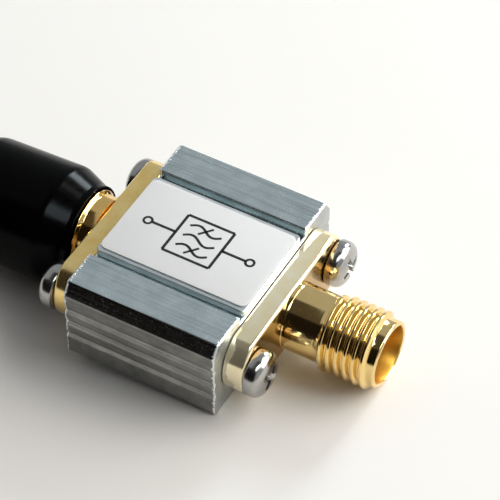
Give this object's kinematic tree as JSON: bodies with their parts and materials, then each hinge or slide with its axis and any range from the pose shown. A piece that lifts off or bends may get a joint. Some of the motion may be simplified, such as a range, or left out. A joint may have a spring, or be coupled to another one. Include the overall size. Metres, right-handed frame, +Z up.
{
  "type": "rf bandpass filter",
  "caption": "Small coaxial band-pass filter: circuit board in a grooved aluminium housing, a flanged threaded socket on each end, one under a black dust cap.",
  "frame": {"origin": "centre of the housing's flat underside", "axes": "+X along the connector axis towards the open socket, +Y across the housing, +Z up through the cover plate"},
  "size_m": [0.0381, 0.018, 0.01],
  "materials": {
    "housing_aluminium": "satin, extruded, sawn ends",
    "cover_aluminium": "satin",
    "label_film": "matte off-white film",
    "open_gold": "gold plated, turned",
    "capped_gold": "gold plated, turned",
    "contact_gold": "gold plated",
    "insulator_white": "waxy white",
    "screw_nickel": "nickel plated",
    "cap_black": "glossy moulded",
    "board_laminate": "solder mask",
    "coil_copper": "enamelled copper wire",
    "chip_ceramic": "fired ceramic",
    "solder": "bright solder"
  },
  "bodies": {
    "root": {"housing": "housing_aluminium", "cover_plate": "cover_aluminium", "label": "label_film", "open_connector_body": "open_gold", "open_insulator": "insulator_white", "open_contact": "contact_gold", "open_near_screw": "screw_nickel", "open_far_screw": "screw_nickel", "capped_connector_body": "capped_gold", "capped_insulator": "insulator_white", "capped_contact": "contact_gold", "capped_near_screw": "screw_nickel", "capped_far_screw": "screw_nickel", "dust_cap": "cap_black", "circuit_board": "board_laminate", "coil_1": "coil_copper", "coil_2": "coil_copper", "coil_3": "coil_copper", "chip_capacitor_1": "chip_ceramic", "chip_capacitor_2": "chip_ceramic", "chip_capacitor_3": "chip_ceramic", "chip_capacitor_4": "chip_ceramic", "open_solder_joint": "solder", "capped_solder_joint": "solder"}
  },
  "joints": []
}
